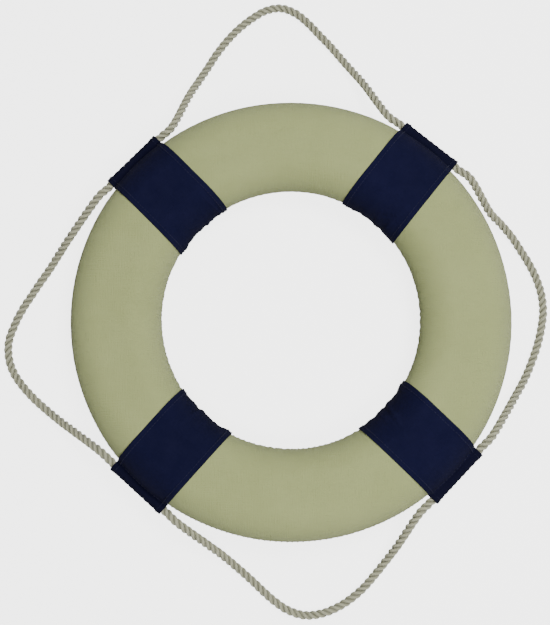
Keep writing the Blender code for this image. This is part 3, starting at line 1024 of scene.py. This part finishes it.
def band_contour(offset):
    """Half a band's section up to the sleeve: radius, height and the outward normal's parts."""
    probe = 0.001
    hole_angle = np.linspace(0, math.pi / 2, HOLE_ROWS)
    rim_angle = np.linspace(math.pi / 2, SLEEVE_STITCH_ANGLE, RIM_ROWS)
    hole, hole_base = (np.array(on_section(hole_angle, -1, offset - d)) for d in (0.0, probe))
    rim, rim_base = (np.array(on_section(rim_angle, 1, offset - d)) for d in (0.0, probe))
    share = np.linspace(0, 1, LAND_ROWS + 2)[1:-1]
    land = np.stack([
        hole[0, -1] + (rim[0, 0] - hole[0, -1]) * share, np.full(LAND_ROWS, hole[1, -1])])
    land_normal = np.stack([np.zeros(LAND_ROWS), np.full(LAND_ROWS, probe)])
    radius, height = np.concatenate([hole, land, rim], axis=1)
    normals = np.concatenate([hole - hole_base, land_normal, rim - rim_base], axis=1) / probe
    return radius, height, *normals


def wrinkles(chance, contour, t):
    """Bell-shaped ridges that lean across the cloth and fade away from the hole, from 0 to 1."""
    ridges = np.zeros((len(contour), len(t)))
    for _ in range(8):
        middle = chance.uniform(-0.031, 0.031)
        width = chance.uniform(0.0013, 0.0034)
        lean = chance.uniform(-0.22, 0.22)
        amount = chance.uniform(0.25, 1.0)
        reach = chance.uniform(0.010, 0.034)
        place = t[None, :] - middle - lean * contour[:, None]
        fade = np.exp(-(contour[:, None] / reach) ** 1.6)
        ridges += amount * np.exp(-(place / width) ** 2) * fade
    return np.tanh(1.1 * ridges)


def slow_waves(chance, contour, t):
    """The mean of seven slow waves with chance lengths and directions, from -1 to 1."""
    slow = np.zeros((len(contour), len(t)))
    for _ in range(7):
        k_along = chance.uniform(20, 160)
        k_across = chance.uniform(30, 210)
        wave = k_along * contour[:, None] + k_across * t[None, :] + chance.uniform(0, 6.28)
        slow += np.sin(wave) / 7
    return slow


def cloth_rise(chance, contour, t, hem, seed):
    """How far the cloth stands off its plain surface: wrinkles, slow swells and stitches' pull."""
    swell_depth, flattened = 0.00045, 0.85
    pull_depth, pull_pitch, pull_reach = 0.00022, 0.0115, 0.006
    ridges = band_settings().wrinkle_depth * wrinkles(chance, contour, t)
    slow = slow_waves(chance, contour, t)
    near = np.exp(-((contour[-1] - contour) / pull_reach) ** 2)[:, None]
    pull = np.sin(2 * math.pi * t / pull_pitch + 1.4 * np.sin(t * 130.0 + seed)) * near
    rise = ridges + swell_depth * (1 + slow) + pull_depth * (1 + pull) * near
    return rise * (1 - flattened * near) + hem[None, :]


def sleeve_half(start_n, start_z, circle, t, up, seed):
    """Half a sleeve from its stitches, as outward distance and height of its straight and its arc.

    The straight touches the sleeve's circle and dips a little on the way, and the arc has the
    bumps of the rope's strands.
    """
    dip_depth, bump_depth = 0.00035, 0.00028
    centre = rope_line_radius()
    start_n = start_n - centre
    away = np.hypot(start_n, start_z)
    touch = np.arctan2(start_z, start_n) - np.arccos(np.clip(circle / away, -1, 1))
    end_n, end_z = circle * np.cos(touch), circle * np.sin(touch)
    u = np.linspace(0, 1, STRAIGHT_ROWS + 1)[1:, None]
    line_n = centre + start_n + (end_n - start_n) * u
    line_z = start_z + (end_z - start_z) * u - dip_depth * np.sin(math.pi * u) ** 2
    turn = touch[None, :] * (1 - np.linspace(0, 1, ARC_ROWS + 1)[1:, None])
    lay_way = 2 * math.pi * t[None, :] / (rope_settings().lay / 3)
    round_way = np.linspace(0, 2.6, ARC_ROWS)[:, None] * up
    strands = 1 + np.sin(lay_way + round_way + 0.9 * np.sin(t * 61.0 + seed)[None, :])
    bumps = bump_depth * strands * smooth_step(np.linspace(0, 1, ARC_ROWS), 0.0, 0.3)[:, None]
    arc_n = centre + circle[None, :] * np.cos(turn) + bumps * np.cos(turn)
    arc_z = circle[None, :] * np.sin(turn) + bumps * np.sin(turn)
    return line_n, line_z, arc_n, arc_z


def band_surface(band, across, outer):
    """A band's outside or inside at places across it, as points [along the cloth, across, xyz].

    At the distance t across from the band's middle, the cloth goes round the ring's section, where
    the outward distance is n = sqrt(r^2 - t^2), up to the sleeve's stitches. From there it runs
    straight on and touches the sleeve's circle, then follows the circle to its outermost point. The
    lower half mirrors the upper, with wrinkles of its own, and what would pass the flats that the
    ring rests on stays level. The outside lies one cloth thickness from the inside, and the hem
    adds to it.
    """
    bands = band_settings()
    seed = bpy.context.scene.lifebuoy_stage.seed * 31 + list(BAND_ANGLES).index(band) * 7
    chance = np.random.default_rng(seed)
    t = np.asarray(across, float)
    offset = CLEARANCE + (bands.thickness if outer else 0.0)
    edge = bands.width / 2 - np.abs(t)
    hem_step = smooth_step(edge, bands.hem_width - 0.0012, bands.hem_width + 0.0002)
    hem = bands.hem_rise * (1 - hem_step)
    if not outer:
        hem = np.zeros_like(t)
    radius, height, normal_r, normal_z = band_contour(offset)
    contour = length_along(np.stack([radius, height], axis=1))
    circle = rope_settings().diameter / 2 + offset + hem

    halves = []
    for up in (1, -1):
        rise = cloth_rise(chance, contour, t, hem, seed)
        ring_r = radius[:, None] + rise * normal_r[:, None]
        ring_z = (height - MIDDLE_HEIGHT)[:, None] + rise * normal_z[:, None]
        ring_n = np.sqrt(ring_r**2 - t[None, :] ** 2)
        line_n, line_z, arc_n, arc_z = sleeve_half(ring_n[-1], ring_z[-1], circle, t, up, seed)
        halves.append((np.vstack([ring_n, line_n, arc_n]), up * np.vstack([ring_z, line_z, arc_z])))
    (n_up, z_up), (n_low, z_low) = halves
    share = smooth_step(np.linspace(0, 1, len(n_up)), 0.0, 0.10)[:, None]
    middle_n = (n_up + n_low) / 2
    n_up = middle_n * (1 - share) + n_up * share
    n_low = middle_n * (1 - share) + n_low * share
    n = np.vstack([n_up, n_low[::-1][1:-1]])
    z = np.vstack([z_up, z_low[::-1][1:-1]])
    rest = -MIDDLE_HEIGHT + (FLOOR_GAP if outer else FLOOR_GAP + bands.thickness)
    z = np.clip(z, rest, -rest)
    outward, clockwise = band_ways(band)
    return (n[..., None] * outward + t[None, :, None] * clockwise
            + (MIDDLE_HEIGHT + z)[..., None] * np.array([0.0, 0.0, 1.0]))


class LIFEBUOY_OT_bands(bpy.types.Operator):
    """Wrap the four cloth bands and their rope sleeves"""

    bl_idname = "lifebuoy.bands"
    bl_label = "Build Cloth Bands"

    def execute(self, context):
        bands = band_settings()
        # The last setting darkens the sleeves with painted shade.
        material = woven_finish(
            "band_cloth", tuple(bands.cloth_color), tuple(bands.cloth_worn), pitch=0.00085,
            roughness=0.90, relief=0.0004, slubs=0.0004, sheen=0.0, seed_offset=3.0, painted_sleeve_shade_share=0.45)
        columns = 120
        half = bands.width / 2
        t = half * np.sin(np.linspace(-1, 1, columns) * 1.40) / math.sin(1.40)
        for band in BAND_ANGLES:
            outside = band_surface(band, t, True)
            inside = band_surface(band, t, False)
            hem_roll = band_surface(band, np.array([-half, half]), False)
            middle_out = (outside[:, [0, -1]] + hem_roll) / 2
            roll = 0.0004
            middle_out += np.array([-1.0, 1.0])[None, :, None] * roll * band_ways(band)[1]
            points = np.concatenate(
                [outside, middle_out[:, 1:], inside[:, ::-1], middle_out[:, :1]], axis=1)
            points = points[:, ::-1]
            middle_line = outside[:, columns // 2]
            contour = length_along(np.vstack([middle_line, middle_line[:1]]))
            places = np.concatenate([t, [half + 0.001], t[::-1], [-half - 0.001]])[::-1]
            places = np.concatenate([places, places[:1]])
            along = np.repeat(contour[:, None], len(places), axis=1)
            across = np.repeat(places[None], len(contour), axis=0)
            name = f"band_{band}_cloth"
            mesh = surface_mesh(name, points, along, across)
            # The sleeve attribute is 1 round the rope, where the cloth's colour is darkened as
            # painted shade.
            row = np.arange(len(contour) - 1)
            in_sleeve = smooth_step(np.minimum(row, len(row) - row), SLEEVE_ROW, SLEEVE_ROW + 3)
            layer = mesh.attributes.new("sleeve", "FLOAT", "POINT")
            values = np.repeat(in_sleeve, points.shape[1]).astype(np.float32)
            layer.data.foreach_set("value", values)
            piece = add_piece(name, mesh, material)
            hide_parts(f"band_{band}")
            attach(piece, "ring")
        return {"FINISHED"}


class LIFEBUOY_OT_stitching(bpy.types.Operator):
    """Stitch the sleeves shut and hem the bands"""

    bl_idname = "lifebuoy.stitching"
    bl_label = "Stitch Bands"

    def execute(self, context):
        bands = band_settings()
        material = thread_finish("band_thread", (0.0045, 0.0050, 0.0230), (0.0105, 0.0110, 0.0400))
        half = bands.width / 2
        for band in BAND_ANGLES:
            rows = []
            count = int((bands.width - 0.008) / bands.stitch_pitch)
            t = np.linspace(-half + 0.004, half - 0.004, count)
            delta = 0.0004
            grid = band_surface(band, np.concatenate([t - delta, t, t + delta]), True)
            last = grid.shape[0] - SLEEVE_ROW
            for row, step in ((SLEEVE_ROW, -1), (last, 1)):
                here = grid[row, count:2 * count]
                ways = grid[row, 2 * count:] - grid[row, :count]
                ahead, behind = grid[[row + 2 * step, row - 2 * step], count:2 * count]
                along_cloth = ahead - behind
                normals = np.cross(along_cloth, ways)
                flip = np.sign(np.sum(normals * band_ways(band)[0], axis=1, keepdims=True))
                rows.append((here, ways, normals * flip))
            for side in (-1, 1):
                place = side * (half - 0.0052)
                strip = band_surface(band, np.array([place - delta, place, place + delta]), True)
                line = np.vstack([strip[:, 1], strip[:1, 1]])
                distance = length_along(line)
                number = int(distance[-1] / bands.stitch_pitch)
                wanted = (np.arange(number) + 0.5) * distance[-1] / number
                index = np.searchsorted(distance, wanted) - 1
                share = (wanted - distance[index]) / (distance[index + 1] - distance[index])
                share = share[:, None]
                here = line[index] * (1 - share) + line[index + 1] * share
                ways = line[index + 1] - line[index]
                over = strip[index, 2] - strip[index, 0]
                normals = np.cross(ways, over)
                rows.append((here, ways, normals * self.outside_sign(here, normals)))
            middles, ways, normals = (np.vstack(parts) for parts in zip(*rows))
            # Under the ring the thread is pressed into the cloth, so none reaches below the floor.
            length = 0.78 * bands.stitch_pitch
            steepness = np.abs(ways[:, 2]) / np.linalg.norm(ways, axis=1)
            lowest = 2 * BAND_THREAD_RADIUS + steepness * length / 2
            middles[:, 2] = np.maximum(middles[:, 2], lowest)
            piece = stitches(
                f"band_{band}_stitches", middles, ways, normals, length, BAND_THREAD_RADIUS,
                material)
            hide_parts(f"stitching_front_{band}", f"stitching_back_{band}")
            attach(piece, "ring")
        return {"FINISHED"}

    def outside_sign(self, here, normals):
        """1 where a normal points away from the section's middle circle, otherwise -1."""
        flat = here.copy()
        flat[:, 2] = 0
        core = flat / np.linalg.norm(flat, axis=1, keepdims=True) * section_width()[0]
        core[:, 2] = MIDDLE_HEIGHT
        return np.sign(np.sum(normals * (here - core), axis=1, keepdims=True))


# The add-on

class LIFEBUOY_PT_panel(bpy.types.Panel):
    """The lifebuoy's settings and its build steps."""

    bl_idname = "LIFEBUOY_PT_panel"
    bl_label = "Ring Lifebuoy"
    bl_space_type = "VIEW_3D"
    bl_region_type = "UI"
    bl_category = "Lifebuoy"

    def draw(self, context):
        layout = self.layout
        for title, settings in (
                ("Ring", context.scene.lifebuoy_ring),
                ("Bands", context.scene.lifebuoy_bands),
                ("Grab line", context.scene.lifebuoy_rope),
                ("Stage", context.scene.lifebuoy_stage)):
            box = layout.box()
            box.label(text=title)
            for name in settings.bl_rna.properties.keys():
                if name not in {"rna_type", "name"}:
                    box.prop(settings, name)
        for operator in OPERATORS:
            layout.operator(operator.bl_idname)


GROUPS = (LifebuoyRingSettings, LifebuoyBandSettings, LifebuoyRopeSettings, LifebuoyStageSettings)
OPERATORS = (
    LIFEBUOY_OT_stage, LIFEBUOY_OT_loops, LIFEBUOY_OT_sleeve_rope, LIFEBUOY_OT_foam,
    LIFEBUOY_OT_covers, LIFEBUOY_OT_seams, LIFEBUOY_OT_bands, LIFEBUOY_OT_stitching)
SCENE_SETTINGS = ("lifebuoy_ring", "lifebuoy_bands", "lifebuoy_rope", "lifebuoy_stage")


def register():
    for cls in (*GROUPS, *OPERATORS, LIFEBUOY_PT_panel):
        bpy.utils.register_class(cls)
    for name, group in zip(SCENE_SETTINGS, GROUPS):
        setattr(bpy.types.Scene, name, PointerProperty(type=group))


def unregister():
    for name in SCENE_SETTINGS:
        delattr(bpy.types.Scene, name)
    for cls in (LIFEBUOY_PT_panel, *OPERATORS[::-1], *GROUPS[::-1]):
        bpy.utils.unregister_class(cls)


def main():
    register()
    bpy.ops.lifebuoy.stage()
    bpy.ops.lifebuoy.loops()
    bpy.ops.lifebuoy.sleeve_rope()
    bpy.ops.lifebuoy.foam()
    bpy.ops.lifebuoy.covers()
    bpy.ops.lifebuoy.seams()
    bpy.ops.lifebuoy.bands()
    bpy.ops.lifebuoy.stitching()


if __name__ == "__main__":
    main()
